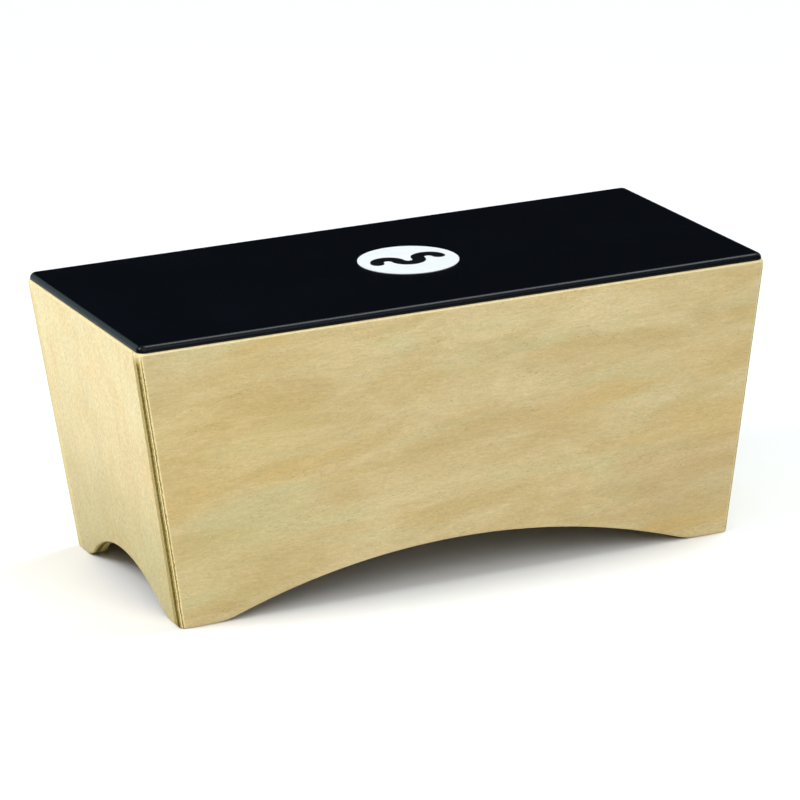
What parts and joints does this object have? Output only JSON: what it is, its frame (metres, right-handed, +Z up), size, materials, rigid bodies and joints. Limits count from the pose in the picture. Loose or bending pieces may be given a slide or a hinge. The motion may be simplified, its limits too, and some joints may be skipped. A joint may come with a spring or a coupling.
{
  "type": "bongo cajon",
  "caption": "Lap-size wooden box drum with two open-bottomed chambers, leaning plywood walls with arched lower edges and a thin black striking plate.",
  "frame": {"origin": "on the floor, under the middle of the box", "axes": "+X along the length towards the high (smaller) chamber, +Y to the rear, +Z up through the striking plate"},
  "size_m": [0.3994, 0.1798, 0.1736],
  "materials": {
    "wall_plywood": "pale birch plywood, clear satin lacquer, bare layered edges",
    "inner_plywood": "bare sanded plywood",
    "inner_softwood": "bare planed softwood",
    "black_plate": "thin dense wood-fibre sheet with a satin black coat",
    "badge_white": "satin white foil",
    "badge_black": "satin black print"
  },
  "bodies": {
    "root": {"front_panel": "wall_plywood", "rear_panel": "wall_plywood", "left_end_panel": "wall_plywood", "right_end_panel": "wall_plywood", "striking_plate": "black_plate", "badge_disc": "badge_white", "badge_mark": "badge_black", "chamber_divider": "inner_plywood", "divider_cleat_front": "inner_softwood", "divider_cleat_rear": "inner_softwood", "plate_batten_front_low": "inner_softwood", "plate_batten_front_high": "inner_softwood", "plate_batten_rear_low": "inner_softwood", "plate_batten_rear_high": "inner_softwood", "plate_batten_left": "inner_softwood", "plate_batten_right": "inner_softwood", "corner_block_front_left": "inner_softwood", "corner_block_front_right": "inner_softwood", "corner_block_rear_left": "inner_softwood", "corner_block_rear_right": "inner_softwood"}
  },
  "joints": []
}
